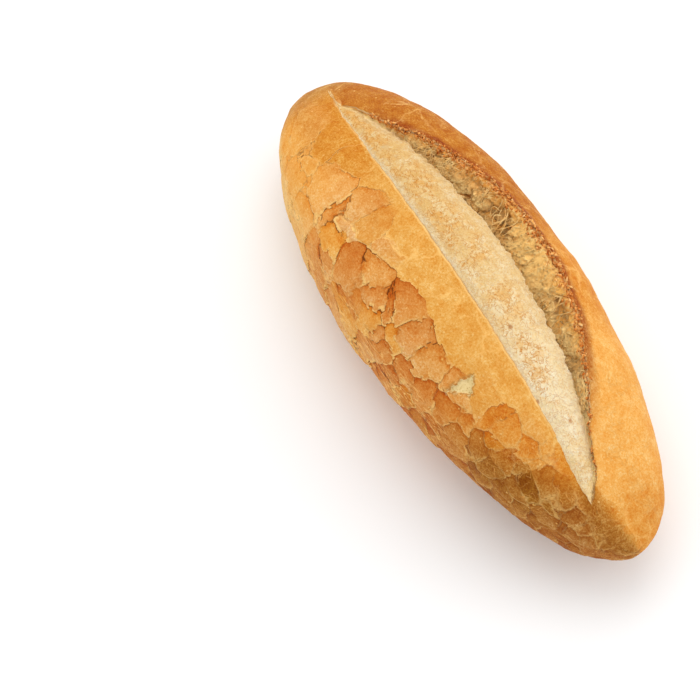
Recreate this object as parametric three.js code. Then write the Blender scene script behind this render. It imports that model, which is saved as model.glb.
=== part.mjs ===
// A crusty bread roll: a spindle-shaped loaf with one long slash along the crown.
// The slash has opened into a domed strip of pale dough, a gutter beside it, and a raised ear of crust.
// Millimetres. X runs along the roll, Z is up, and the roll lies on the plane Z = 0.
import * as THREE from 'three';
import { mergeVertices } from 'three/addons/utils/BufferGeometryUtils.js';

// Overall size
const LENGTH = 200;
const WIDTH = 74.3;
const HEIGHT = 60.5;

// Long profile
const WIDEST_HEIGHT = 27;
const TIP_HEIGHT = 21.8;
const END_ROUNDNESS = 0.509;
const TAPER = 0.085;

// Cross-section: 2 is an ellipse, larger is squarer
const CROWN_SQUARENESS = 2.6;
const BELLY_SQUARENESS = 1.92;
const FLATTENED_DEPTH = 2.6;

// Hand-shaped waviness of the crust
const WAVE_HEIGHT = 0.45;

// Slash along the crown
const SLASH_START = -78;
const SLASH_END = 84;
const SLASH_OFFSET = -5.2;
const SLASH_SLANT = -2.8;
const SLASH_START_BEND = 8.6;
const SLASH_END_BEND = -2.5;
const DOME_WIDTH = 20.2;
const OPENING_WIDTH = 30.6;
const CRUST_STEP = 1.1;
const DOME_RISE = 3.2;
const DOME_FALL = 2.2;
const GUTTER_DEPTH = 10.5;
const GUTTER_PLACE = 0.3;
const EAR_RISE = 1.3;
const EAR_WIDTH = 0.2;
const CLOSED_WIDTH = 1.2;

// Mesh density: rings along the roll, and columns across each band of the cross-section
const RINGS = 92;
const COLUMNS = { right: 14, tornWall: 4, domeWall: 3, dome: 8, left: 15 };

// How full the roll is at a place along it, from 0 at the tips to about 1 in the middle
function fullness(s) {
  const round = Math.pow(Math.max(0, 1 - s * s), END_ROUNDNESS);
  return round * (1 - TAPER * s * (1 - s * s));
}

function axisHeight(s) {
  return TIP_HEIGHT + (WIDEST_HEIGHT - TIP_HEIGHT) * (1 - s * s);
}

// Distance from the roll's axis to the plain crust, at an angle from straight up
function crustRadius(s, angle) {
  const full = fullness(s);
  const up = Math.cos(angle) > 0;
  const power = up ? CROWN_SQUARENESS : BELLY_SQUARENESS;
  const tall = up ? HEIGHT - WIDEST_HEIGHT : WIDEST_HEIGHT + FLATTENED_DEPTH;
  const across = Math.pow(Math.abs(Math.sin(angle)) / (WIDTH / 2), power);
  const upward = Math.pow(Math.abs(Math.cos(angle)) / tall, power);
  const wave = WAVE_HEIGHT * Math.sin(9 * s + 2 * angle) * Math.cos(3 * angle + 5 * s);
  return full * (Math.pow(across + upward, -1 / power) + wave);
}

// Angle from straight up of a line on the crown that lies a given distance to the side
function crownAngle(s, side) {
  const full = Math.max(fullness(s), 0.35);
  const share = Math.min(Math.abs(side) / (full * WIDTH / 2), 0.98);
  const rise = (HEIGHT - WIDEST_HEIGHT) * full;
  const height = rise * Math.pow(1 - Math.pow(share, CROWN_SQUARENESS), 1 / CROWN_SQUARENESS);
  return Math.atan2(side, height);
}

// Where the slash lies at a place along the roll, and how far it is open there, from 0 to 1
function slash(s) {
  const x = s * LENGTH / 2;
  const middle = (SLASH_START + SLASH_END) / 2;
  const half = (SLASH_END - SLASH_START) / 2;
  const open = Math.max(0, 1 - ((x - middle) / half) ** 2);
  const startBend = SLASH_START_BEND * ((1 - s) / 2) ** 8;
  const endBend = SLASH_END_BEND * ((1 + s) / 2) ** 8;
  const left = SLASH_OFFSET + SLASH_SLANT * s + startBend + endBend;
  const closed = CLOSED_WIDTH * (0.25 + 0.75 * fullness(s));
  const dome = left + Math.hypot(DOME_WIDTH * open ** 0.8, closed);
  const gap = Math.hypot((OPENING_WIDTH * open ** 1.15 - DOME_WIDTH * open ** 0.8), closed);
  const ear = dome + gap;
  const gutter = dome + gap * GUTTER_PLACE;
  return {
    open,
    left: crownAngle(s, left),
    dome: crownAngle(s, dome),
    gutter: crownAngle(s, gutter),
    ear: crownAngle(s, ear),
  };
}

function ease(t) {
  return t * t * (3 - 2 * t);
}

// Height of the open slash above or below the plain crust, for each band of the cross-section
const RELIEF = {
  right: (t) => EAR_RISE * Math.max(0, 1 - (1 - t) / EAR_WIDTH) ** 2,
  tornWall: (t) => EAR_RISE - (EAR_RISE + GUTTER_DEPTH) * ease(t),
  domeWall: (t) => -GUTTER_DEPTH + (GUTTER_DEPTH - CRUST_STEP - DOME_FALL) * ease(t),
  dome: (t) => {
    const across = 1 - t;
    const edge = -CRUST_STEP * Math.min(1, across / 0.1);
    return edge + DOME_RISE * Math.sin(Math.PI * across ** 0.85) - DOME_FALL * across ** 3;
  },
  left: () => 0,
};

// The columns' angles and relief at one place along the roll, from the underside up over the right
// side, across the slash and down the left side to the underside again
function columnsAt(s) {
  const place = slash(s);
  const stops = [Math.PI, place.ear, place.gutter, place.dome, place.left, -Math.PI];
  const bands = ['right', 'tornWall', 'domeWall', 'dome', 'left'];
  const columns = [];
  bands.forEach((band, i) => {
    for (let c = 0; c < COLUMNS[band]; c++) {
      const t = c / COLUMNS[band];
      const angle = stops[i] + (stops[i + 1] - stops[i]) * t;
      const relief = RELIEF[band](t) * Math.min(1, place.open ** 0.7);
      columns.push({ angle, relief });
    }
  });
  columns.push({ angle: -Math.PI, relief: 0 });
  return columns;
}

// A ball with its poles at the roll's two tips, reshaped ring by ring
function rollGeometry() {
  const around = Object.values(COLUMNS).reduce((sum, count) => sum + count, 0);
  const ball = new THREE.SphereGeometry(1, around, RINGS);
  const position = ball.getAttribute('position');
  for (let ring = 0; ring <= RINGS; ring++) {
    const s = Math.cos(Math.PI * ring / RINGS);
    const columns = columnsAt(s);
    for (let c = 0; c <= around; c++) {
      const { angle, relief } = columns[c];
      const radius = crustRadius(s, angle) + relief * Math.min(1, 3 * fullness(s));
      const atTip = ring === 0 || ring === RINGS;
      const y = atTip ? 0 : radius * Math.sin(angle);
      const z = axisHeight(s) + (atTip ? 0 : radius * Math.cos(angle));
      position.setXYZ(ring * (around + 1) + c, s * LENGTH / 2, y, Math.max(0, z));
    }
  }
  ball.deleteAttribute('uv');
  ball.deleteAttribute('normal');
  const roll = mergeVertices(ball, 1e-4);
  roll.computeVertexNormals();
  return roll;
}

const crust = new THREE.MeshStandardMaterial({ color: 0xcf8a44, roughness: 0.6, metalness: 0 });
const roll = new THREE.Mesh(rollGeometry(), crust);
roll.name = 'bread_roll';

const part = new THREE.Group();
part.name = 'bread_roll_part';
part.add(roll);

export default part;
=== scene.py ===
"""A crusty bread roll with one long slash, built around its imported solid."""

import math
import bmesh
import bpy
import numpy as np
from mathutils import Matrix, Vector


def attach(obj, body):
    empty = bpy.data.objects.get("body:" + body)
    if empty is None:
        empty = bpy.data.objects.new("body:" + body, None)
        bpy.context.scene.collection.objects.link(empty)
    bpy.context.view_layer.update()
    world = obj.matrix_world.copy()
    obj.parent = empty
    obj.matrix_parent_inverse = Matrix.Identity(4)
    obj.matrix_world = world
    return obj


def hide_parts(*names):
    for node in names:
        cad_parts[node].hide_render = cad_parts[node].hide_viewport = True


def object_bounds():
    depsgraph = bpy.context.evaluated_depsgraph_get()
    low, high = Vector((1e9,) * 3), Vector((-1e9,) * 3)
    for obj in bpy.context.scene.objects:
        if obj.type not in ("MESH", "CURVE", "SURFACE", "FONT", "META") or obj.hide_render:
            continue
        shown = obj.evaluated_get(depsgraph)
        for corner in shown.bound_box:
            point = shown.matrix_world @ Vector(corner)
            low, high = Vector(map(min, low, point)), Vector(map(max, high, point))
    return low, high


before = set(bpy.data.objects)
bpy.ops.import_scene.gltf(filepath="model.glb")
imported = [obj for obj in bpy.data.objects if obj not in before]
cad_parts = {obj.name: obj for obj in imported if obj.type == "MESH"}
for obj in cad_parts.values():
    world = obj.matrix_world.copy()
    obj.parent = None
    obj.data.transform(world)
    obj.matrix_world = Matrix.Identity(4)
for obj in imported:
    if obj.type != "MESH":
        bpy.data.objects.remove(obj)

CAD_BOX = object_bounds()

bl_info = {
    "name": "Crusty Bread Roll",
    "version": (1, 0, 0),
    "blender": (4, 5, 0),
    "location": "View3D > Sidebar > Bread Roll",
    "description": "Builds a crusty slashed bread roll piece by piece",
    "category": "Object",
}

MM = 0.001
LENGTH = (CAD_BOX[1].x - CAD_BOX[0].x) / MM
HALF = LENGTH / 2


# -------- settings


def colour(red, green, blue):
    """A screen colour from 0 to 255 as a linear colour."""
    def linear(v):
        v /= 255
        return v / 12.92 if v <= 0.04045 else ((v + 0.055) / 1.055) ** 2.4
    return (linear(red), linear(green), linear(blue), 1.0)


def length(name, description, default, low, high):
    return bpy.props.FloatProperty(
        name=name, description=description, default=default * MM, min=low * MM, max=high * MM,
        precision=4, unit="LENGTH",
    )


def shade(name, description, *default):
    return bpy.props.FloatVectorProperty(
        name=name, description=description, default=colour(*default), size=4, min=0.0, max=1.0,
        subtype="COLOR",
    )


class RollSizes(bpy.types.PropertyGroup):
    """Sizes of the roll."""

    width: length("Width", "Width of the plain loaf", 74.3, 60, 75)
    height: length("Height", "Height of the plain loaf, without the dough's rise", 60.5, 48, 62)
    plate_size: length("Plate size", "Usual width of a crust plate halfway along the roll", 11.5, 7, 18)
    plate_lift: length("Plate lift", "How far a crust plate's lower edge stands up", 0.7, 0, 1.5)
    dome_rise: length("Dome rise", "How far the dough bulges out of the slash", 3.2, 0, 4)
    gutter_depth: length("Gutter depth", "Depth of the torn gutter beside the dough", 10.5, 4, 12)
    strand_count: bpy.props.IntProperty(
        name="Strands", description="Number of torn strands in the gutter", default=300, min=0, max=1200
    )
    ear_crumb_count: bpy.props.IntProperty(
        name="Ear crumbs", description="Number of crisp crumbs along the ear", default=900, min=0, max=3000
    )


class RollColours(bpy.types.PropertyGroup):
    """Colours of the crust, the dough and the crumb."""

    golden: shade("Golden crust", "Crust beside the slash", 221, 160, 76)
    browned: shade("Browned crust", "Crust of the browner end", 214, 138, 48)
    # The scorched colour is real scorching and also painted shade low on the browner end.
    scorched: shade("Scorched crust", "Darkest crust, low on the browner end", 152, 96, 24)
    pale_crust: shade("Pale crust", "Crust low on the flanks, away from the heat", 235, 188, 112)
    ear: shade("Ear", "Crust along the ear of the slash", 150, 64, 12)
    # The crack colour is painted shadow in the gaps between crust plates and flakes.
    crack: shade("Crack", "Dark line of a crack", 104, 50, 14)
    rim: shade("Plate rim", "Broken edge of a crust plate", 252, 206, 126)
    dough: shade("Dough", "Risen dough in the slash", 246, 214, 156)
    toasted: shade("Toasted fleck", "Toasted flecks on the dough", 216, 142, 58)
    crumb: shade("Crumb", "Torn crumb in the gutter", 250, 214, 142)
    strand: shade("Strand", "Torn strands of crumb", 246, 208, 138)


# fixed tints, as screen colours from 0 to 255
TINTS = {
    # crust
    "far_crust": (208, 135, 46), "left_flank": (230, 160, 66), "right_side": (216, 142, 56),
    "far_right": (188, 114, 36), "near_right": (232, 168, 84), "near_tip_right": (220, 148, 62),
    # The near-tip left tint is browner crust with painted shade, and the low near-end tint is painted
    # shade.
    "near_tip_left": (160, 100, 36), "low_near": (164, 94, 28), "far_tip": (188, 130, 58),
    "beneath": (214, 150, 76), "beneath_near": (176, 110, 42), "base_edge": (190, 124, 58),
    "pink_plate": (210, 140, 76), "pale_plate": (236, 176, 104), "blister": (250, 202, 122),
    # Among the chip tints, the darker pore tint is painted shade in the pores and the edge tint is painted
    # shadow round the chip.
    "hair_crack": (132, 76, 24), "fine_line": (236, 172, 92), "chip_pore": (198, 164, 100),
    "chip": (226, 200, 140), "chip_pale": (240, 216, 160), "chip_edge": (170, 116, 54),
    "lip": (246, 204, 132),
    # dough
    "far_dough": (236, 196, 130), "near_dough": (252, 232, 190), "dough_shoulder": (246, 216, 162),
    "dough_edge": (242, 222, 180), "dough_tip": (236, 200, 138), "toasted_patch": (238, 176, 92),
    "dough_pit": (196, 122, 54), "dough_brink": (250, 226, 176),
    # torn crumb and its strands
    "far_wall": (236, 160, 72), "near_wall": (250, 184, 92), "near_crumb": (216, 192, 136),
    # The pocket and pore tints on the next line are painted shade in the crumb's hollows.
    "thread_shade": (204, 152, 82), "pocket": (188, 142, 84), "pore": (146, 104, 54),
    "bridge": (254, 204, 122), "wall_top": (196, 108, 48), "dark_strand": (236, 184, 104),
    # crumbs along the ear
    "burnt_crumb": (172, 94, 36), "brown_crumb": (210, 128, 58), "golden_crumb": (228, 156, 82),
    "pale_crumb": (246, 190, 116),
}


def size(name):
    """A length from the settings, in millimetres."""
    return getattr(bpy.context.scene.bread_roll_sizes, name) / MM


def tone(name):
    """A linear colour, from the fixed tints or from the settings."""
    if name in TINTS:
        return colour(*TINTS[name])
    return tuple(getattr(bpy.context.scene.bread_roll_colours, name))


# -------- the loaf's shape, in millimetres

WIDEST_HEIGHT = 27.0
TIP_HEIGHT = 21.8
END_ROUNDNESS = 0.509
TAPER = 0.085
CROWN_SQUARENESS = 2.6
BELLY_SQUARENESS = 1.92
FLATTENED_DEPTH = 2.6
WAVE_HEIGHT = 0.45

SLASH_START = -78.0
SLASH_END = 84.0
SLASH_OFFSET = -5.2
SLASH_SLANT = -2.8
SLASH_START_BEND = 8.6
SLASH_END_BEND = -2.5
DOME_WIDTH = 20.2
OPENING_WIDTH = 30.6
CRUST_STEP = 1.1
DOME_FALL = 2.2
GUTTER_PLACE = 0.3
EAR_RISE = 1.3
CLOSED_WIDTH = 1.2
STRIP_END = 4.0


def fullness(s):
    """How full the roll is at a place along it, from 0 at the tips to about 1 in the middle."""
    return np.maximum(0, 1 - s * s) ** END_ROUNDNESS * (1 - TAPER * s * (1 - s * s))


def axis_height(s):
    return TIP_HEIGHT + (WIDEST_HEIGHT - TIP_HEIGHT) * (1 - s * s)


def crust_radius(s, angle):
    """Distance from the roll's axis to the plain crust, at an angle from straight up."""
    up = np.cos(angle) > 0
    power = np.where(up, CROWN_SQUARENESS, BELLY_SQUARENESS)
    tall = np.where(up, size("height") - WIDEST_HEIGHT, WIDEST_HEIGHT + FLATTENED_DEPTH)
    across = (np.abs(np.sin(angle)) / (size("width") / 2)) ** power
    upward = (np.abs(np.cos(angle)) / tall) ** power
    wave = WAVE_HEIGHT * np.sin(9 * s + 2 * angle) * np.cos(3 * angle + 5 * s)
    return fullness(s) * ((across + upward) ** (-1 / power) + wave)


def crown_angle(s, side):
    """Angle from straight up of a line on the crown that lies a given distance to the side."""
    full = np.maximum(fullness(s), 0.35)
    share = np.minimum(np.abs(side) / (full * size("width") / 2), 0.98)
    rise = (size("height") - WIDEST_HEIGHT) * full
    return np.arctan2(side, rise * (1 - share**CROWN_SQUARENESS) ** (1 / CROWN_SQUARENESS))


def ragged(x, reach, seed):
    """A gentle unevenness along the roll, in millimetres, from waves of unrelated lengths."""
    return reach * (
        np.sin(x * 0.31 + seed) * 0.45
        + np.sin(x * 0.83 + seed * 2.1) * 0.35
        + np.sin(x * 1.97 + seed * 3.7) * 0.25
    )


def slash_lines(s):
    """How open the slash is, how far to the side its edges lie, and how deep it goes, along the roll."""
    x = s * HALF
    middle, half = (SLASH_START + SLASH_END) / 2, (SLASH_END - SLASH_START) / 2
    opening = np.maximum(0, 1 - ((x - middle) / half) ** 2)
    left = (
        SLASH_OFFSET + SLASH_SLANT * s
        + SLASH_START_BEND * ((1 - s) / 2) ** 8
        + SLASH_END_BEND * ((1 + s) / 2) ** 8
    )
    closed = CLOSED_WIDTH * (0.25 + 0.75 * fullness(s))
    dome = left + np.hypot(DOME_WIDTH * opening**0.8, closed)
    gap = np.hypot(OPENING_WIDTH * opening**1.15 - DOME_WIDTH * opening**0.8, closed)
    torn = (ragged(x * 2.9, 0.4, 2.0) + ragged(x * 6.7, 0.2, 4.0)) * np.minimum(1, opening * 4)
    return {
        "left": left + ragged(x, 0.25, 1.0),
        "dome": dome + ragged(x, 0.45, 5.0) + torn,
        "gutter": dome + gap * GUTTER_PLACE,
        "ear": dome + gap + ragged(x, 0.5, 9.0),
        "deep": np.minimum(1, opening**0.7),
        "hollow": np.minimum(1, opening**0.7) * np.minimum(1, 0.08 + gap / 8.5),
    }


def ease(t):
    return t * t * (3 - 2 * t)


def place(s, angle, relief):
    """Points of the roll, in metres, from place along, angle round and height over the plain crust."""
    full = fullness(s)
    radius = crust_radius(s, angle) + relief * np.minimum(1, 3 * full)
    y = radius * np.sin(angle)
    z = np.maximum(0, axis_height(s) + radius * np.cos(angle))
    x = s * HALF + 0 * y
    return np.stack([x, y, z], -1) * MM


def along(rings, low=-1.0, high=1.0, crowding=0.5):
    """Places along the roll from the +X end to the -X end, closer together at both ends."""
    t = np.linspace(1, -1, rings + 1)
    t = (1 - crowding) * t + crowding * np.sin(t * math.pi / 2)
    return ((high + low) / 2 + (high - low) / 2 * t)[:, None]


def banded(stops, counts):
    """Values between stops, with a count of columns in each band and the last stop left out."""
    bands = []
    for first, last, count in zip(stops, stops[1:], counts):
        t = np.arange(count) / count
        bands.append(first + (last - first) * t)
    return np.concatenate(bands, axis=1)


def drawn_object(name, drawn):
    """A smooth object in the scene, from a bmesh that isn't needed any more."""
    mesh = bpy.data.meshes.new(name)
    drawn.to_mesh(mesh)
    drawn.free()
    mesh.polygons.foreach_set("use_smooth", np.ones(len(mesh.polygons), bool))
    made = bpy.data.objects.new(name, mesh)
    bpy.context.scene.collection.objects.link(made)
    return made


def point_places(mesh):
    co = np.zeros(len(mesh.vertices) * 3)
    mesh.vertices.foreach_get("co", co)
    return co.reshape(-1, 3)


def keep(piece, name, values):
    """Stores one number or one vector for each point of a piece."""
    values = np.asarray(values, np.float32)
    kind, field = ("FLOAT_VECTOR", "vector") if values.ndim == 2 else ("FLOAT", "value")
    piece.data.attributes.new(name, kind, "POINT").data.foreach_set(field, values.ravel())


def closed_skin(name, points, tips):
    """A ball whose poles are drawn out to the two tips, reshaped to rows and columns of points."""
    rings, columns = points.shape[0] - 1, points.shape[1]
    if columns % 4:
        raise RuntimeError("the columns of a closed skin must divide by four, not %d" % columns)
    ball = bmesh.new()
    bmesh.ops.create_uvsphere(ball, u_segments=columns, v_segments=rings, radius=1.0)
    piece = drawn_object(name, ball)
    co = point_places(piece.data)
    ring = np.rint(np.arccos(np.clip(co[:, 2], -1, 1)) * rings / math.pi).astype(int)
    turn = (np.arctan2(co[:, 0], co[:, 1]) + math.pi) / (2 * math.pi) * columns
    column = np.rint(turn).astype(int) % columns
    shaped = points[ring, column]
    shaped[ring == 0] = tips[0]
    shaped[ring == rings] = tips[1]
    piece.data.vertices.foreach_set("co", shaped.ravel())
    piece.data.update()
    keep(piece, "rest", shaped / MM)
    return piece, ring, column


def weld(piece, gap=1e-6):
    """Joins the points of columns that run together, so no face is left without an area."""
    skin = bmesh.new()
    skin.from_mesh(piece.data)
    bmesh.ops.remove_doubles(skin, verts=skin.verts, dist=gap)
    bmesh.ops.dissolve_degenerate(skin, edges=skin.edges, dist=gap)
    skin.to_mesh(piece.data)
    skin.free()


def strip_skin(name, s, middle, side, relief):
    """A closed strip that lies along the roll and draws in to its middle over both of its ends."""
    x = s * HALF
    drawn_in = np.minimum(1, np.minimum(x - x.min(), x.max() - x) / STRIP_END) ** 0.5
    points = place(s, crown_angle(s, middle + (side - middle) * drawn_in), relief)
    return closed_skin(name, points, [points[0].mean(0), points[-1].mean(0)])


# -------- node helpers


class Graph:
    """Short names for the nodes that a relief and a finish share."""

    def __init__(self, tree):
        self.tree = tree
        self.shading = tree.bl_idname == "ShaderNodeTree"

    def node(self, kind, **settings):
        made = self.tree.nodes.new(kind)
        for key, value in settings.items():
            setattr(made, key, value)
        return made

    def feed(self, socket, value):
        if isinstance(value, bpy.types.NodeSocket):
            self.tree.links.new(value, socket)
        elif value is not None:
            socket.default_value = value

    def math(self, operation, *values):
        made = self.node("ShaderNodeMath", operation=operation)
        for socket, value in zip(made.inputs, values):
            self.feed(socket, value)
        return made.outputs[0]

    def add(self, *values):
        total = values[0]
        for value in values[1:]:
            total = self.math("ADD", total, value)
        return total

    def times(self, *values):
        total = values[0]
        for value in values[1:]:
            total = self.math("MULTIPLY", total, value)
        return total

    def less(self, a, b):
        return self.math("SUBTRACT", a, b)

    def vector(self, operation, *values, scale=None):
        made = self.node("ShaderNodeVectorMath", operation=operation)
        for socket, value in zip(made.inputs, values):
            self.feed(socket, value)
        if scale is not None:
            self.feed(made.inputs["Scale"], scale)
        return made.outputs["Value" if operation == "DOT_PRODUCT" else "Vector"]

    def split(self, value):
        made = self.node("ShaderNodeSeparateXYZ")
        self.feed(made.inputs[0], value)
        return made.outputs

    def join(self, x, y, z):
        made = self.node("ShaderNodeCombineXYZ")
        for socket, value in zip(made.inputs, (x, y, z)):
            self.feed(socket, value)
        return made.outputs[0]

    def step(self, value, low, high, start=0.0, end=1.0):
        """A soft step from start to end, while the value goes from low to high."""
        made = self.node("ShaderNodeMapRange", interpolation_type="SMOOTHSTEP")
        for socket, v in zip(made.inputs, (value, low, high, start, end)):
            self.feed(socket, v)
        return made.outputs[0]

    def blend(self, share, a, b):
        made = self.node("ShaderNodeMix", data_type="FLOAT")
        self.feed(made.inputs[0], share)
        self.feed(made.inputs[2], a)
        self.feed(made.inputs[3], b)
        return made.outputs[0]

    def tint(self, share, a, b):
        made = self.node("ShaderNodeMix", data_type="RGBA")
        self.feed(made.inputs[0], share)
        self.feed(made.inputs[6], a)
        self.feed(made.inputs[7], b)
        return made.outputs[2]

    def wash(self, base, name, *shares):
        """A base colour with a named one laid over it, as strongly as the shares' product."""
        return self.tint(self.times(*shares), base, tone(name))

    def gamma(self, base, power):
        made = self.node("ShaderNodeGamma")
        self.feed(made.inputs[0], base)
        self.feed(made.inputs[1], power)
        return made.outputs[0]

    def offset(self, where, amounts, reach):
        """A place moved by a colour's amounts, where half grey means no move."""
        shift = self.vector("SCALE", self.vector("SUBTRACT", amounts, (0.5, 0.5, 0.5)), scale=reach)
        return self.vector("ADD", where, shift)

    def noise(self, where, scale, detail=2.0, rough=0.5, distortion=0.0):
        made = self.node("ShaderNodeTexNoise")
        self.feed(made.inputs["Vector"], where)
        for key, value in (
            ("Scale", scale), ("Detail", detail), ("Roughness", rough), ("Distortion", distortion),
        ):
            self.feed(made.inputs[key], value)
        return made.outputs

    def blotch(self, where, scale, *levels):
        """A soft step over plain noise, which makes soft-edged patches."""
        return self.step(self.noise(where, scale)[0], *levels)

    def cells(self, where, scale, feature="F1", randomness=1.0, smoothness=None):
        made = self.node("ShaderNodeTexVoronoi", feature=feature)
        self.feed(made.inputs["Vector"], where)
        self.feed(made.inputs["Scale"], scale)
        self.feed(made.inputs["Randomness"], randomness)
        if smoothness is not None:
            self.feed(made.inputs["Smoothness"], smoothness)
        return made.outputs

    def attribute(self, name, kind="FLOAT"):
        if self.shading:
            made = self.node("ShaderNodeAttribute", attribute_name=name)
            return made.outputs["Fac" if kind == "FLOAT" else "Vector"]
        made = self.node("GeometryNodeInputNamedAttribute", data_type=kind)
        made.inputs["Name"].default_value = name
        return made.outputs["Attribute"]


def raise_relief(piece, height_of):
    """Pushes a piece's surface out along its normals by height_of(graph), in millimetres."""
    tree = bpy.data.node_groups.new(piece.name + "_relief", "GeometryNodeTree")
    tree.interface.new_socket("Geometry", in_out="INPUT", socket_type="NodeSocketGeometry")
    tree.interface.new_socket("Geometry", in_out="OUTPUT", socket_type="NodeSocketGeometry")
    g = Graph(tree)
    start, end = g.node("NodeGroupInput"), g.node("NodeGroupOutput")
    shift = g.node("GeometryNodeSetPosition")
    normal = g.node("GeometryNodeInputNormal")
    offset = g.vector("SCALE", normal.outputs[0], scale=g.times(height_of(g), MM))
    tree.links.new(start.outputs[0], shift.inputs["Geometry"])
    tree.links.new(offset, shift.inputs["Offset"])
    tree.links.new(shift.outputs[0], end.inputs[0])
    modifier = piece.modifiers.new("relief", "NODES")
    modifier.node_group = tree
    seen = piece.evaluated_get(bpy.context.evaluated_depsgraph_get())
    plain, raised = piece.data, bpy.data.meshes.new_from_object(seen)
    raised.name = piece.name
    piece.modifiers.clear()
    piece.data = raised
    bpy.data.meshes.remove(plain)
    bpy.data.node_groups.remove(tree)


def finish_material(name, build):
    material = bpy.data.materials.new(name)
    material.use_nodes = True
    tree = material.node_tree
    g = Graph(tree)
    build(g, tree.nodes["Principled BSDF"])
    return material


def dress(piece, name, build):
    """Gives a piece its finish and the body that it rides."""
    piece.data.materials.append(finish_material(name, build))
    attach(piece, "root")


def finish(g, shader, base, roughness, shine, height):
    """Feeds the shader its colour, its roughness and shine, and a fine height in millimetres."""
    made = g.node("ShaderNodeBump")
    made.inputs["Strength"].default_value = 1.0
    made.inputs["Distance"].default_value = MM
    g.feed(made.inputs["Height"], height)
    g.feed(shader.inputs["Base Color"], base)
    g.feed(shader.inputs["Roughness"], roughness)
    g.feed(shader.inputs["Specular IOR Level"], shine)
    g.feed(shader.inputs["Normal"], made.outputs[0])


# -------- crust

PLATE_SHRINK = 0.065
CHIP_CORNERS = ((31.0, -28.2), (33.2, -18.4), (38.4, -22.4))


def chip_depth(g, x, y):
    """How far inside the three-cornered place, where a flake of crust came away, a point lies."""
    inside = None
    for (ax, ay), (bx, by) in zip(CHIP_CORNERS, CHIP_CORNERS[1:] + CHIP_CORNERS[:1]):
        run = math.hypot(bx - ax, by - ay)
        nx, ny = (by - ay) / run, (ax - bx) / run
        reach = g.add(g.times(x, nx), g.times(y, ny), -(ax * nx + ay * ny))
        inside = reach if inside is None else g.math("MINIMUM", inside, reach)
    return inside


def plate_pattern(g):
    """The crackled plates of the crust: where their cracks run, which edge lifts, and each one's tone."""
    rest = g.attribute("rest", "FLOAT_VECTOR")
    side = g.attribute("side")
    px, py, pz = g.split(rest)
    share = g.times(px, 1 / HALF)
    axis = g.less(WIDEST_HEIGHT, g.times(share, share, WIDEST_HEIGHT - TIP_HEIGHT))
    turn = g.times(g.math("ARCTAN2", py, g.less(pz, axis)), 180 / math.pi)
    where = g.offset(rest, g.noise(rest, 0.1, 1, 0.5)[1], 5.0)
    where = g.offset(where, g.noise(rest, 0.6, 3, 0.65)[1], 1.1)
    where = g.offset(where, g.cells(rest, 0.36)["Color"], g.step(px, 20.0, 66.0, 1.25, 0.9))
    x, y, z = g.split(where)
    largest = size("plate_size")
    width = g.math("MAXIMUM", g.less(largest, g.times(x, PLATE_SHRINK)), 4.0)
    stretched = g.times(g.math("LOGARITHM", width, math.e), -1 / PLATE_SHRINK)
    warped = g.join(stretched, g.math("DIVIDE", y, width), g.math("DIVIDE", z, width))
    edge = g.times(g.cells(warped, 1.0, "DISTANCE_TO_EDGE", 0.95)[0], width)
    cell = g.cells(warped, 1.0, "F1", 0.95)
    local = g.vector("SUBTRACT", warped, cell["Position"])
    tones = g.split(cell["Color"])
    cx, cy, cz = g.split(cell["Position"])
    cell_width = g.math("EXPONENT", g.times(cx, -PLATE_SHRINK))
    cell_x = g.times(g.less(largest, cell_width), 1 / PLATE_SHRINK)
    cell_turn = g.times(
        g.math("ARCTAN2", g.times(cy, cell_width), g.less(g.times(cz, cell_width), axis)), 180 / math.pi
    )
    outward = g.vector("NORMALIZE", g.join(0.55, g.times(g.math("SIGN", y), 0.55), -0.62))
    slope = g.vector("DOT_PRODUCT", local, outward)
    fine_edge = g.times(g.cells(warped, 2.2, "DISTANCE_TO_EDGE", 1.0)[0], width)
    near = g.step(px, 8.0, 62.0)
    far = g.step(px, -36.0, -66.0)
    patchy = g.blotch(rest, 0.035, 0.36, 0.58)
    nearer = g.step(px, -30.0, 15.0)
    starts, full = g.blend(nearer, -18.0, -32.0), g.blend(nearer, -30.0, -42.0)
    left = g.times(g.step(cell_turn, starts, full), g.step(side, -2.0, -7.0))
    tip_left = g.times(g.step(px, 42.0, 62.0), g.step(side, -1.0, -5.0))
    right = g.times(g.step(side, 8.0, 20.0), patchy, g.blend(near, 0.05, 0.4))
    lifted = g.math("MAXIMUM", g.math("MAXIMUM", left, tip_left), right)
    lifted = g.times(lifted, g.less(1.0, g.times(far, 0.7)), g.step(pz, 3.0, 14.0))
    lifted = g.times(lifted, g.step(g.math("ABSOLUTE", turn), 166.0, 118.0))
    present = g.blotch(where, 0.13, 0.36, 0.52)
    torn = g.offset(rest, g.noise(rest, 0.5, 3, 0.6)[1], 2.2)
    torn_x, torn_y, torn_z = g.split(g.offset(torn, g.cells(rest, 0.8)["Color"], 0.9))
    chip = g.math("MINIMUM", chip_depth(g, torn_x, torn_y), g.less(torn_z, WIDEST_HEIGHT))
    return {
        "rest": rest, "side": side, "x": px, "y": py, "z": pz, "turn": turn, "edge": edge, "slope": slope,
        "tone": tones, "cell_x": cell_x, "cell_turn": cell_turn, "fine_edge": fine_edge, "near": near,
        "patchy": patchy, "lifted": lifted, "present": present, "chip": chip,
    }


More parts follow.
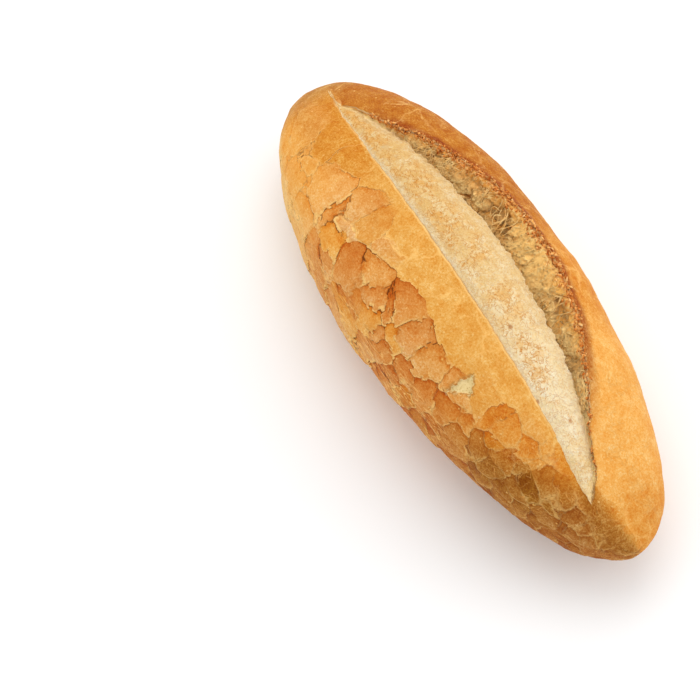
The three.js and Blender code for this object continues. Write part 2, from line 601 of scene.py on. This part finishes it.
def plate_height(g):
    """Height of the lifted plates and the general lumpiness over the plain crust, in millimetres."""
    p = plate_pattern(g)
    tilt = g.times(
        g.step(p["slope"], -0.45, 0.5, -0.35, 0.75), g.blend(p["near"], 1.0, 0.5),
        g.step(p["x"], 44.0, 74.0, 1.0, 0.3),
    )
    rim = g.step(p["edge"], 0.0, 0.55, 0.0, 1.0)
    plates = g.times(tilt, rim, p["lifted"], size("plate_lift"))
    groove = g.times(g.step(p["edge"], 0.0, 0.6, -0.12, 0.0), g.blend(p["lifted"], 0.1, 1.0))
    chipped = g.step(p["chip"], -0.2, 0.4, 0.0, -0.9)
    lumps = g.times(g.less(g.noise(p["rest"], 0.07, 3, 0.5)[0], 0.5), 2.2)
    away = g.step(g.math("ABSOLUTE", p["side"]), 0.5, 4.0)
    above_base = g.step(p["z"], 0.3, 4.0)
    return g.times(g.add(plates, groove, lumps, chipped), away, above_base)


def crust_finish(g, shader):
    p = plate_pattern(g)
    rest, x, side, turn, lifted = p["rest"], p["x"], p["side"], p["turn"], p["lifted"]
    edge, slope, near = p["edge"], p["slope"], p["near"]
    broad = g.noise(rest, 0.05)[0]
    mottle = g.noise(rest, 0.24, 3, 0.6)[0]
    grain = g.noise(rest, 1.5, 4, 0.85)[0]
    wander = g.times(g.less(broad, 0.5), 30.0)
    left_side, right_side = g.step(side, 0.2, -0.2), g.step(side, -0.2, 0.2)
    base = g.tint(g.step(g.add(x, wander), -28.0, -62.0), tone("golden"), tone("far_crust"))
    flank = g.times(left_side, g.step(g.add(turn, wander), -28.0, -48.0), g.step(x, 30.0, -10.0))
    base = g.wash(base, "left_flank", flank)
    low = g.step(g.add(turn, g.times(wander, 0.5)), -58.0, -76.0)
    low = g.times(left_side, low, g.step(x, -15.0, -58.0))
    base = g.wash(base, "pale_crust", low)
    base = g.wash(base, "right_side", right_side)
    base = g.wash(base, "far_right", right_side, g.step(x, 12.0, -14.0))
    pale_right = g.times(right_side, g.step(g.add(x, g.times(wander, 0.5)), 20.0, 48.0))
    base = g.wash(base, "near_right", pale_right)
    base = g.wash(base, "near_tip_right", g.step(x, 80.0, 94.0), g.step(turn, -10.0, 10.0))
    along_by_cell = g.add(g.times(p["cell_x"], 0.6), g.times(x, 0.4))
    turn_by_cell = g.add(g.times(p["cell_turn"], 0.6), g.times(turn, 0.4))
    low_turn = g.math("MAXIMUM", g.math("MINIMUM", turn_by_cell, 20.0), -62.0)
    heat = g.add(along_by_cell, g.times(low_turn, -1.33), g.times(wander, 0.5), g.times(right_side, -13.0))
    on_left = g.step(g.add(p["y"], g.times(wander, 0.2)), 10.0, -8.0)
    base = g.wash(base, "browned", g.step(heat, 84.0, 100.0), on_left)
    # The darkest crust, lowest on the browner end, is real scorching and partly painted shade on that end's
    # underside.
    base = g.wash(base, "scorched", g.step(heat, 108.0, 142.0), on_left)
    # Browner crust on the near tip's left, which also stands in for painted shade toward its underside.
    base = g.wash(base, "near_tip_left", g.step(x, 70.0, 86.0), g.step(turn, -6.0, -26.0), on_left, 0.85)
    # Painted shade: a darker brown low on the left flank of the near half.
    low_near = g.times(g.step(turn, -68.0, -86.0), g.step(turn, -120.0, -104.0), g.step(x, 2.0, 28.0))
    base = g.wash(base, "low_near", low_near, 0.5)
    side_low = g.times(g.step(turn, 62.0, 88.0), g.less(1.0, near))
    base = g.wash(base, "pale_crust", side_low, 0.8)
    base = g.wash(base, "far_tip", g.step(x, -82.0, -96.0, 0.0, 0.9))
    beneath = g.step(g.math("ABSOLUTE", turn), 118.0, 158.0)
    base = g.tint(beneath, base, g.tint(g.step(x, 20.0, 80.0), tone("beneath"), tone("beneath_near")))
    base = g.wash(base, "base_edge", g.step(p["z"], 3.5, 0.5, 0.0, 0.9))
    pinkish = g.times(lifted, g.step(p["tone"][0], -0.15, 0.45), g.less(1.0, g.times(near, 0.75)))
    plate_colour = g.tint(g.step(x, -30.0, -52.0), tone("pink_plate"), tone("pale_plate"))
    base = g.tint(g.times(pinkish, 0.75), base, plate_colour)
    ear_wander = g.add(side, g.times(g.less(g.noise(rest, 0.25)[0], 0.5), 3.0))
    ear = g.times(g.step(ear_wander, 5.0, 1.0), right_side, g.step(x, 74.0, 36.0), g.step(x, -74.0, -55.0))
    base = g.wash(base, "ear", ear, 0.85)
    uneven = g.blend(near, g.step(x, -50.0, -30.0, 0.12, 0.3), 0.22)
    plate_tone = g.times(lifted, g.less(p["tone"][1], 0.42), uneven)
    # Painted light and shade across each lifted plate: darker toward its tucked upper part, lighter toward
    # its lifted lower edge.
    plate_light_and_shade = g.times(lifted, g.step(slope, -0.5, 0.5, 0.16, -0.14), g.blend(near, 1.0, 0.6))
    power = g.add(
        1.0, plate_tone, plate_light_and_shade, g.times(g.less(0.5, mottle), 0.9), g.times(g.less(0.5, grain), 2.1)
    )
    base = g.gamma(base, g.math("MAXIMUM", power, 0.4))
    blister = g.cells(rest, 0.34)
    spot = g.times(g.step(blister[0], 0.17, 0.07), g.step(g.split(blister["Color"])[0], 0.5, 0.6))
    base = g.wash(base, "blister", spot, 0.6)
    faint = g.blend(p["patchy"], 0.02, 0.3)
    seen = g.times(g.math("MAXIMUM", lifted, faint), p["present"])
    shown = g.times(lifted, p["present"])
    raised = g.step(slope, -0.05, 0.2)
    broken = g.blotch(rest, 0.8, 0.36, 0.5, 0.35, 1.0)
    shadow = g.times(g.step(edge, 1.5, 0.2), g.step(slope, 0.05, -0.25), shown)
    base = g.gamma(base, g.add(1.0, g.times(shadow, g.blend(near, 0.32, 0.18))))
    rim = g.times(g.step(edge, 0.75, 0.35), raised, broken, seen)
    base = g.wash(base, "rim", rim, g.blend(near, 0.85, 0.3))
    flat = g.math("MAXIMUM", g.less(1.0, lifted), g.times(near, 0.22))
    base = g.wash(base, "rim", g.step(edge, 0.34, 0.12), seen, flat, 0.8)
    opened = g.blotch(rest, 0.12, 0.4, 0.52, 0.15, 1.0)
    opened = g.times(opened, g.blend(near, 1.0, 0.35))
    # Dark crack lines: painted shadow in the gap between plates, strongest along the edge tucked under its
    # neighbour.
    line = g.times(g.step(edge, 0.26, 0.1), shown, opened, g.step(slope, 0.2, -0.1, 0.1, 1.0))
    base = g.wash(base, "crack", line, 0.9)
    hair = g.times(g.step(edge, 0.24, 0.08), left_side, g.step(side, -4.0, -9.0))
    hair = g.times(hair, g.step(x, -22.0, -44.0), g.less(1.0, opened))
    base = g.wash(base, "hair_crack", hair, g.blotch(rest, 0.2, 0.42, 0.52), 0.9)
    some = g.blotch(rest, 0.09, 0.46, 0.6)
    fine = g.times(g.step(p["fine_edge"], 0.22, 0.06), near, some, g.step(side, 6.0, -6.0, 0.3, 0.55))
    base = g.wash(base, "fine_line", fine)
    flakes = g.noise(g.vector("MULTIPLY", rest, (0.045, 0.3, 0.3)), 1.0, 3, 0.6)[0]
    strip = g.times(g.step(turn, -58.0, -70.0), left_side, g.step(p["z"], 8.0, 14.0), g.step(x, 60.0, 20.0))
    # Each flake edge gets a dark line, painted shadow in its gap, and a pale rim beside it.
    for level, outer, inner, share, name in (
        (0.5, 0.01, 0.003, 0.4, "crack"), (0.53, 0.02, 0.006, 0.6, "rim"),
    ):
        flake_line = g.step(g.math("ABSOLUTE", g.less(flakes, level)), outer, inner)
        base = g.wash(base, name, flake_line, strip, share)
    # Painted shade in the pores of the crumb bared where the flake came away.
    chip_pores = g.step(g.cells(rest, 1.3, "SMOOTH_F1", 1.0, 0.3)[0], 0.15, 0.5)
    chip_tone = g.tint(chip_pores, tone("chip_pore"), tone("chip"))
    chip_tone = g.wash(chip_tone, "chip_pale", g.blotch(rest, 0.5, 0.4, 0.6, 0.0, 0.6))
    base = g.tint(g.step(p["chip"], 0.0, 0.4), base, chip_tone)
    # Painted shadow: a darker outline where the surrounding plate edges shade the chipped place.
    chip_edge = g.step(g.math("ABSOLUTE", g.add(p["chip"], 0.1)), 0.35, 0.1)
    base = g.wash(base, "chip_edge", chip_edge, g.step(mottle, 0.4, 0.6, 0.1, 0.6))
    lip = g.times(g.step(side, -1.0, -0.2), left_side, g.step(x, 70.0, 50.0), g.step(x, -84.0, -77.0))
    base = g.wash(base, "lip", lip, g.step(mottle, 0.35, 0.6, 0.9, 0.4))
    base = g.wash(base, "dough", g.attribute("inside"))
    height = g.add(
        g.times(grain, 0.28),
        g.times(mottle, 0.35),
        g.times(spot, 0.15),
        g.times(g.step(edge, 0.0, 0.35), shown, 0.2),
        g.times(g.step(p["fine_edge"], 0.35, 0.0), near, some, 0.1),
        g.times(flakes, strip, 1.2),
    )
    finish(g, shader, base, g.step(grain, 0.2, 0.8, 0.48, 0.62), 0.04, height)


CRUST_RINGS = 440
# columns from the base up the left side, across the slash, and down the right side to the base
CRUST_COLUMNS = (16, 106, 3, 4, 4, 4, 5, 46, 16)
BASE_ANGLE = 1.95
LIP_WIDTH = 0.5
EAR_WALL = 1.1
UNDERCUT = 2.2
SKIN_DEPTH = 1.5
HOLLOW_DEPTHS = (4.5, 14, 12)
EAR_REACH = 6.5


class BREADROLL_OT_crust(bpy.types.Operator):
    """Bakes the crackled crust of the whole loaf, with its hollow under the slash"""

    bl_idname = "bread_roll.crust"
    bl_label = "Crust"

    def execute(self, context):
        s = along(CRUST_RINGS)
        lines = slash_lines(s)
        inner_left = crown_angle(s, lines["left"] + LIP_WIDTH)
        left, ear = crown_angle(s, lines["left"]), crown_angle(s, lines["ear"])
        gutter, dome = crown_angle(s, lines["gutter"]), crown_angle(s, lines["dome"])
        inner_ear = crown_angle(s, lines["ear"] - EAR_WALL * lines["hollow"])
        low, base = 0 * s - BASE_ANGLE, 0 * s - math.pi
        stops = [base, low, left, inner_left, dome, gutter, inner_ear, ear, -low, -base]
        angle = banded(stops, CRUST_COLUMNS)
        deep, hollow = lines["deep"], lines["hollow"]
        zero, skin = 0 * s, -SKIN_DEPTH * deep
        sunken = [skin - depth * hollow for depth in HOLLOW_DEPTHS]
        stops = [zero, zero, zero, -UNDERCUT * deep, *sunken, EAR_RISE * deep, zero, zero]
        relief = banded(stops, CRUST_COLUMNS)
        start = sum(CRUST_COLUMNS[:7])
        gap = (angle[:, start:] - ear) * crust_radius(s, angle[:, start:])
        relief[:, start:] = EAR_RISE * deep * np.maximum(0, 1 - gap / EAR_REACH) ** 2
        points = place(s, angle, relief)
        tip = axis_height(1.0) * MM
        tips = [(HALF * MM, 0, tip), (-HALF * MM, 0, tip)]
        piece, ring, column = closed_skin("crust", points, tips)
        side = np.zeros_like(angle)
        first = sum(CRUST_COLUMNS[:2]) + 1
        radius = crust_radius(s, angle)
        side[:, :first] = (radius * (angle - left))[:, :first]
        side[:, start:] = (radius * (angle - ear))[:, start:]
        keep(piece, "side", side[ring, column])
        inside = np.zeros_like(angle)
        line_end = sum(CRUST_COLUMNS[:4])
        begun = ease(np.clip((s * HALF - SLASH_START + 9) / 6, 0, 1))
        inside[:, first:line_end] = begun * (s * HALF < SLASH_END)
        inside[:, line_end:start] = np.minimum(1, deep * 5)
        keep(piece, "inside", inside[ring, column])
        weld(piece)
        raise_relief(piece, plate_height)
        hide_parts("bread_roll")
        dress(piece, "crust", crust_finish)
        return {"FINISHED"}


# -------- dough that rose through the slash


def dough_pattern(g):
    rest = g.attribute("rest", "FLOAT_VECTOR")
    across = g.attribute("across")
    curls = g.math("ABSOLUTE", g.less(g.noise(rest, 0.5, 3, 0.6, 0.6)[0], 0.5))
    patches = g.noise(rest, 0.15, 3, 0.6)[0]
    return {"rest": rest, "across": across, "curls": curls, "patches": patches}


def dough_height(g):
    p = dough_pattern(g)
    lumps = g.times(g.less(g.noise(p["rest"], 0.085, 3, 0.5)[0], 0.5), 2.0)
    small = g.times(g.less(g.noise(p["rest"], 0.45, 3, 0.6)[0], 0.5), 0.45)
    return g.times(g.add(lumps, small), g.step(p["across"], 0.0, 0.12))


def dough_finish(g, shader):
    p = dough_pattern(g)
    rest, across = p["rest"], p["across"]
    x = g.split(rest)[0]
    grain = g.noise(rest, 1.8, 4, 0.7)[0]
    mottle = g.noise(rest, 0.3, 3, 0.6)[0]
    base = g.tint(g.step(x, 38.0, -40.0), tone("dough"), tone("far_dough"))
    base = g.wash(base, "near_dough", g.step(x, 10.0, 58.0, 0.0, 0.8))
    base = g.wash(base, "dough_shoulder", g.step(across, 0.55, 0.8), g.step(across, 1.0, 0.96), 0.35)
    base = g.wash(base, "dough_edge", g.step(across, 0.22, 0.03), g.step(x, 30.0, -20.0, 0.4, 0.9))
    base = g.wash(base, "dough_tip", g.step(x, 62.0, 80.0, 0.0, 0.6))
    middle = g.times(g.step(across, 0.08, 0.22), g.step(across, 0.8, 0.55), g.step(x, 66.0, 40.0, 0.3, 1.0))
    patch = g.times(g.step(g.less(p["patches"], g.times(x, 0.0008)), 0.38, 0.56), middle)
    toasted = g.times(g.step(p["curls"], 0.04, 0.006), g.step(mottle, 0.32, 0.46))
    base = g.wash(base, "toasted_patch", patch, g.step(mottle, 0.6, 0.4), 0.5)
    base = g.wash(base, "toasted", toasted, g.blend(patch, 0.36, 1.0), 0.9)
    power = g.add(1.0, g.times(g.less(0.5, mottle), 1.2), g.times(g.less(0.5, grain), 1.7))
    base = g.gamma(base, g.math("MAXIMUM", power, 0.3))
    pits = g.cells(rest, 0.16)
    some = g.step(g.split(pits["Color"])[1], 0.6, 0.7)
    pit = g.times(g.step(pits[0], 0.16, 0.06), some, g.step(across, 0.95, 0.9))
    base = g.wash(base, "dough_pit", pit, 0.75)
    base = g.wash(base, "dough_brink", g.step(across, 0.955, 0.99), g.step(across, 1.2, 1.02), 0.5)
    height = g.add(
        g.times(g.step(p["curls"], 0.07, 0.0), 0.12), g.times(grain, 0.7), g.times(mottle, 0.6),
        g.times(pit, -0.35),
    )
    finish(g, shader, base, 0.8, 0.1, height)


class BREADROLL_OT_dough(bpy.types.Operator):
    """Raises the pale domed strip of dough between the crust and the gutter"""

    bl_idname = "bread_roll.dough"
    bl_label = "Dough strip"

    def execute(self, context):
        s = along(rings=520, low=-0.895, high=0.846, crowding=0.35)
        lines = slash_lines(s)
        deep, hollow = lines["deep"], lines["hollow"]
        top, wall, under = 60, 10, 13
        t = np.arange(top + 1) / top
        tuck = np.minimum(1, 3 * deep)
        side = lines["left"] - tuck + (lines["dome"] - lines["left"] + tuck) * t
        relief = -CRUST_STEP - 0.05 + size("dome_rise") * np.sin(math.pi * t**0.85) - DOME_FALL * t**3
        relief = relief * deep + 0.14 * (1 - deep)
        relief = relief - tuck * (1 - np.minimum(1, t / 0.05))
        u = (np.arange(wall) + 1) / wall
        edge_relief = relief[:, -1:]
        fall_side = lines["dome"] - 1.2 * u * hollow
        fall_relief = edge_relief - (size("gutter_depth") - 2) * ease(u) * hollow - 0.4 * u
        v = (np.arange(under) + 1) / (under + 1)
        under_side = fall_side[:, -1:] + (side[:, :1] - fall_side[:, -1:]) * v
        under_relief = fall_relief[:, -1:] + (relief[:, :1] - 0.6 - fall_relief[:, -1:]) * v
        all_side = np.concatenate([side, fall_side, under_side], 1)
        all_relief = np.concatenate([relief, fall_relief, under_relief], 1)
        middle = (lines["left"] + lines["dome"]) / 2
        piece, _, column = strip_skin("dough_strip", s, middle, all_side, all_relief)
        across = np.concatenate([t, 1 + u, 2 - 2 * v])
        keep(piece, "across", across[column])
        raise_relief(piece, dough_height)
        dress(piece, "dough", dough_finish)
        return {"FINISHED"}


# -------- torn crumb in the gutter


def crumb_pattern(g):
    rest = g.attribute("rest", "FLOAT_VECTOR")
    across = g.attribute("across")
    bent = g.offset(rest, g.noise(rest, 0.22)[1], 5.0)
    x = g.split(bent)[0]
    bridge = g.times(g.step(x, -6.0, 2.0), g.step(x, 21.0, 12.0))
    pockets = g.times(g.blotch(bent, 0.1, 0.46, 0.56), g.step(across, 0.86, 0.62))
    pockets = g.times(pockets, g.less(1.0, g.times(bridge, 0.9)))
    threads = g.noise(g.vector("MULTIPLY", bent, (1.3, 0.4, 0.4)), 1.0, 3, 0.6, 0.6)[0]
    drawn = g.vector("MULTIPLY", bent, (0.5, 0.22, 0.22))
    webs = g.math("ABSOLUTE", g.less(g.noise(drawn, 1.0, 2, 0.5, 0.8)[0], 0.5))
    pores = g.cells(bent, 0.55, "SMOOTH_F1", 1.0, 0.3)[0]
    return {
        "rest": rest, "across": across, "bent": bent, "bridge": bridge,
        "pockets": pockets, "threads": threads, "webs": webs, "pores": pores,
    }


def crumb_height(g):
    p = crumb_pattern(g)
    holes = g.times(g.step(p["pores"], 0.1, 0.6, -0.9, 0.2), g.blend(p["pockets"], 0.45, 1.0))
    hollow = g.times(p["pockets"], -2.4)
    ribs = g.times(g.less(p["threads"], 0.5), 1.0)
    web = g.times(g.step(p["webs"], 0.035, 0.0), 0.9)
    free = g.times(g.step(p["across"], 0.0, 0.1), g.step(p["across"], 0.97, 0.75), g.attribute("hollow"))
    swell = g.times(p["bridge"], g.step(p["across"], 0.05, 0.3), g.step(p["across"], 0.85, 0.5), 1.8)
    return g.times(g.add(holes, hollow, ribs, web, swell), free)


def crumb_finish(g, shader):
    p = crumb_pattern(g)
    x = g.split(p["rest"])[0]
    up = g.step(p["across"], 0.45, 0.82)
    wall = g.wash(tone("far_wall"), "near_wall", g.step(x, -28.0, 4.0))
    base = g.tint(up, tone("crumb"), wall)
    base = g.wash(base, "near_crumb", g.step(x, 34.0, 60.0, 0.0, 0.7))
    base = g.wash(base, "thread_shade", g.step(p["threads"], 0.3, 0.5, 0.5, 0.0))
    base = g.wash(base, "strand", g.step(p["threads"], 0.5, 0.7, 0.0, 0.7))
    # Painted shade in the sunken pockets and in the pores of the torn crumb.
    base = g.wash(base, "pocket", p["pockets"], 0.85)
    holes = g.times(g.step(p["pores"], 0.42, 0.1), g.blend(p["pockets"], 0.4, 0.8))
    base = g.wash(base, "pore", holes)
    base = g.wash(base, "bridge", p["bridge"], 0.75)
    base = g.wash(base, "strand", g.step(p["webs"], 0.03, 0.005), 0.8)
    base = g.wash(base, "wall_top", g.step(p["across"], 0.9, 0.98, 0.0, 0.8))
    fibres = g.noise(g.vector("MULTIPLY", p["bent"], (4.0, 0.8, 0.8)), 1.0, 3, 0.65, 0.8)[0]
    finish(g, shader, base, 0.65, 0.12, g.add(g.times(fibres, 0.6), g.times(p["threads"], 0.5)))


# how far across the gutter its wall turns from the bottom up to the ear
TURN = 0.22


def wall_relief(t):
    """Height of the gutter's wall over the plain crust, from under the dough strip (0) to the ear (1)."""
    climbed = ease(np.clip((t - TURN) / (1 - TURN), 0, 1)) ** 0.9
    return -size("gutter_depth") + (size("gutter_depth") + EAR_RISE - 0.5) * climbed


class BREADROLL_OT_crumb(bpy.types.Operator):
    """Tears the porous crumb of the gutter, from under the dough strip up to the ear of crust"""

    bl_idname = "bread_roll.crumb"
    bl_label = "Torn crumb"

    def execute(self, context):
        s = along(rings=560, low=-0.79, high=0.845, crowding=0.2)
        lines = slash_lines(s)
        hollow = lines["hollow"]
        top, under = 72, 8
        t = np.arange(top) / (top - 1)
        first, bottom, last = lines["dome"] - 1.5 * hollow, lines["gutter"], lines["ear"] - 0.25
        down = first + (bottom - first) * t / TURN
        up = bottom + (last - bottom) * (t - TURN) / (1 - TURN)
        side = np.where(t < TURN, down, up)
        relief = wall_relief(t) * hollow - 0.8 * (lines["deep"] - hollow)
        v = (np.arange(under) + 1) / (under + 1)
        under_side = side[:, -1:] + (side[:, :1] - side[:, -1:]) * v
        under_relief = relief[:, -1:] + (relief[:, :1] - relief[:, -1:]) * v**0.3 - 1.5 * hollow
        all_side = np.concatenate([side, under_side], 1)
        all_relief = np.concatenate([relief, under_relief], 1)
        piece, ring, column = strip_skin("torn_crumb", s, (first + last) / 2, all_side, all_relief)
        across = np.concatenate([t, 1 - v])
        keep(piece, "across", across[column])
        keep(piece, "hollow", hollow[ring, 0])
        raise_relief(piece, crumb_height)
        dress(piece, "torn_crumb", crumb_finish)
        return {"FINISHED"}


def strand_finish(g, shader):
    rest = g.attribute("rest", "FLOAT_VECTOR")
    base = g.wash(tone("strand"), "dark_strand", g.blotch(rest, 0.5, 0.45, 0.62))
    finish(g, shader, base, 0.5, 0.25, g.times(g.noise(rest, 4.0)[0], 0.1))


def loose_piece(name, drawn, build):
    """Turns a bmesh drawn in millimetres into a finished piece."""
    piece = drawn_object(name, drawn)
    piece.data.transform(Matrix.Scale(MM, 4))
    keep(piece, "rest", point_places(piece.data) / MM)
    dress(piece, name, build)
    return piece


class BREADROLL_OT_strands(bpy.types.Operator):
    """Spans the gutter's hollows with thin torn strands of crumb"""

    bl_idname = "bread_roll.strands"
    bl_label = "Crumb strands"

    def execute(self, context):
        dice = np.random.default_rng(11)
        plain = bmesh.new()
        bmesh.ops.create_cone(plain, cap_ends=True, segments=4, radius1=1.0, radius2=0.8, depth=1.0)
        sides = [e for e in plain.edges if abs(e.verts[0].co.z - e.verts[1].co.z) > 0.5]
        cuts = 7
        bmesh.ops.subdivide_edges(plain, edges=sides, cuts=cuts, use_grid_fill=True)
        strand = bpy.data.meshes.new("strand")
        plain.to_mesh(strand)
        plain.free()
        u = np.linspace(0, 1, cuts + 2)
        arch = np.sin(math.pi * u)
        web = bmesh.new()
        tufts = dice.uniform(-50, 62, 17)
        for _ in range(context.scene.bread_roll_sizes.strand_count):
            x0 = dice.choice(tufts) + dice.normal(0, 1.5)
            x = x0 + dice.normal(0, 2.4) * u + dice.normal(0, 1.6) * arch
            low = dice.uniform(0.16, 0.55)
            t = low + (min(0.93, low + dice.uniform(0.14, 0.5)) - low) * u
            s = np.clip(x / HALF, -0.7, 0.82)[:, None]
            lines = slash_lines(s)
            hollow = lines["hollow"]
            side = lines["gutter"] + (lines["ear"] - lines["gutter"]) * (t[:, None] - TURN) / (1 - TURN)
            bow = dice.uniform(0.2, 1.9) * arch[:, None]
            relief = wall_relief(t)[:, None] * hollow + (bow - 0.3) * hollow
            centre = place(s, crown_angle(s, side), relief)[:, 0] / MM
            thick = dice.uniform(0.1, 0.3) * (0.75 + 0.6 * (2 * u - 1) ** 2)
            already = len(web.verts)
            web.from_mesh(strand)
            web.verts.ensure_lookup_table()
            for vert in web.verts[already:]:
                level = round((vert.co.z + 0.5) * (cuts + 1))
                spoke = vert.co.xy * thick[level]
                vert.co = Vector(centre[level]) + Vector((spoke.x, spoke.y * 0.6, spoke.y))
        bpy.data.meshes.remove(strand)
        bmesh.ops.recalc_face_normals(web, faces=web.faces)
        loose_piece("crumb_strands", web, strand_finish)
        return {"FINISHED"}


def ear_crumb_finish(g, shader):
    rest = g.attribute("rest", "FLOAT_VECTOR")
    lot = g.attribute("lot")
    base = g.tint(g.step(lot, 0.12, 0.16), tone("burnt_crumb"), tone("brown_crumb"))
    base = g.wash(base, "golden_crumb", g.step(lot, 0.5, 0.55))
    base = g.wash(base, "pale_crumb", g.step(lot, 0.87, 0.9))
    base = g.gamma(base, g.step(g.noise(rest, 1.6, 2, 0.6)[0], 0.3, 0.7, 1.35, 0.7))
    finish(g, shader, base, 0.8, 0.06, g.times(g.noise(rest, 3.0)[0], 0.2))


class BREADROLL_OT_ear_crumbs(bpy.types.Operator):
    """Scatters the crisp crumbs along the torn edge of the ear of crust"""

    bl_idname = "bread_roll.ear_crumbs"
    bl_label = "Ear crumbs"

    def execute(self, context):
        dice = np.random.default_rng(5)
        heap = bmesh.new()
        lots = []
        for _ in range(context.scene.bread_roll_sizes.ear_crumb_count):
            x = dice.uniform(-68, 52) if dice.uniform() < 0.93 else dice.uniform(52, 80)
            s = np.array([[x / HALF]])
            lines = slash_lines(s)
            deep = float(lines["deep"][0, 0])
            wide = dice.uniform(0.15, 0.52) * (0.4 + 0.6 * deep)
            across = lines["ear"] + dice.normal(-0.5, 0.65) * deep
            lift = EAR_RISE * deep - 0.15 + dice.normal(0, 0.2)
            inward = float((lines["ear"] - across)[0, 0])
            point = place(s, crown_angle(s, across), lift - max(0.0, inward) * 0.7)[0, 0] / MM
            long, thin = wide * dice.uniform(1.2, 3.0), wide * dice.uniform(0.35, 0.8)
            spin = Matrix.Rotation(dice.normal(0, 0.7), 4, "Z")
            spin = spin @ Matrix.Rotation(dice.normal(0, 0.6), 4, "Y")
            spin = spin @ Matrix.Rotation(dice.uniform(0, 6.28), 4, "X")
            made = bmesh.ops.create_icosphere(
                heap, subdivisions=1, radius=1.0,
                matrix=Matrix.Translation(Vector(point)) @ spin @ Matrix.Diagonal((long, wide, thin, 1)),
            )
            for vert in made["verts"]:
                vert.co += Vector(dice.normal(0, 0.32 * wide, 3))
            lots += [dice.uniform()] * len(made["verts"])
        piece = loose_piece("ear_crumbs", heap, ear_crumb_finish)
        keep(piece, "lot", lots)
        return {"FINISHED"}


# -------- stage


ROLL_MIDDLE = Vector((0, 0, 0.03))
FLOOR_REACH = 3.0
FLOOR_GREY = 0.9
# each light's name, place, width and power
LIGHTS = (
    ("key_light", (-0.5, 0.25, 1.1), 1.1, 5.0),
    ("side_light", (0.5, 1.0, 0.6), 0.8, 2.4),
)
CAMERA_LENS = 142.3
CAMERA_AZIMUTH = math.radians(57.37)
CAMERA_ELEVATION = math.radians(62.0)
CAMERA_ROLL = math.radians(-5.06)
CAMERA_DISTANCE = 0.9
CAMERA_TARGET = Vector((-0.00889, -0.039, 0.02383))


class BREADROLL_OT_stage(bpy.types.Operator):
    """Lays the pale floor and sets the soft lights and the camera"""

    bl_idname = "bread_roll.stage"
    bl_label = "Stage"

    def execute(self, context):
        scene = context.scene
        sheet = bmesh.new()
        bmesh.ops.create_grid(sheet, x_segments=1, y_segments=1, size=FLOOR_REACH)
        floor = drawn_object("floor", sheet)
        material = bpy.data.materials.new("pale_floor")
        material.use_nodes = True
        shader = material.node_tree.nodes["Principled BSDF"]
        shader.inputs["Base Color"].default_value = (FLOOR_GREY, FLOOR_GREY, FLOOR_GREY, 1)
        shader.inputs["Roughness"].default_value = 0.9
        floor.data.materials.append(material)
        world = bpy.data.worlds.new("studio")
        world.use_nodes = True
        world.node_tree.nodes["Background"].inputs["Color"].default_value = (1, 1, 1, 1)
        world.node_tree.nodes["Background"].inputs["Strength"].default_value = 1.0
        scene.world = world
        for name, spot, width, power in LIGHTS:
            light = bpy.data.lights.new(name, "AREA")
            light.size, light.energy = width, power
            lamp = bpy.data.objects.new(name, light)
            lamp.location = spot
            lamp.rotation_euler = (ROLL_MIDDLE - Vector(spot)).to_track_quat("-Z", "Y").to_euler()
            scene.collection.objects.link(lamp)
        camera_data = bpy.data.cameras.new("camera")
        camera_data.lens = CAMERA_LENS
        camera_data.clip_start, camera_data.clip_end = 0.01, 20
        camera = bpy.data.objects.new("camera", camera_data)
        back = Vector((
            math.sin(CAMERA_AZIMUTH) * math.cos(CAMERA_ELEVATION),
            -math.cos(CAMERA_AZIMUTH) * math.cos(CAMERA_ELEVATION),
            math.sin(CAMERA_ELEVATION),
        ))
        camera.location = ROLL_MIDDLE + back * CAMERA_DISTANCE
        facing = (CAMERA_TARGET - camera.location).to_track_quat("-Z", "Y").to_matrix()
        roll = Matrix.Rotation(CAMERA_ROLL, 3, "Z")
        camera.rotation_euler = (facing @ roll).to_euler()
        scene.collection.objects.link(camera)
        scene.camera = camera
        scene.view_settings.view_transform = "Standard"
        return {"FINISHED"}


class BREADROLL_PT_panel(bpy.types.Panel):
    bl_idname = "BREADROLL_PT_panel"
    bl_label = "Bread Roll"
    bl_space_type = "VIEW_3D"
    bl_region_type = "UI"
    bl_category = "Bread Roll"

    def draw(self, context):
        for operator in OPERATORS:
            self.layout.operator(operator.bl_idname)
        for settings in (context.scene.bread_roll_sizes, context.scene.bread_roll_colours):
            box = self.layout.box()
            for name in type(settings).__annotations__:
                box.prop(settings, name)


OPERATORS = (
    BREADROLL_OT_crust, BREADROLL_OT_dough, BREADROLL_OT_crumb,
    BREADROLL_OT_strands, BREADROLL_OT_ear_crumbs, BREADROLL_OT_stage,
)
CLASSES = (RollSizes, RollColours, *OPERATORS, BREADROLL_PT_panel)


def register():
    for cls in CLASSES:
        bpy.utils.register_class(cls)
    bpy.types.Scene.bread_roll_sizes = bpy.props.PointerProperty(type=RollSizes)
    bpy.types.Scene.bread_roll_colours = bpy.props.PointerProperty(type=RollColours)


def unregister():
    del bpy.types.Scene.bread_roll_colours
    del bpy.types.Scene.bread_roll_sizes
    for cls in reversed(CLASSES):
        bpy.utils.unregister_class(cls)


def main():
    register()
    bpy.ops.bread_roll.crust()
    bpy.ops.bread_roll.dough()
    bpy.ops.bread_roll.crumb()
    bpy.ops.bread_roll.strands()
    bpy.ops.bread_roll.ear_crumbs()
    bpy.ops.bread_roll.stage()


if __name__ == "__main__":
    main()
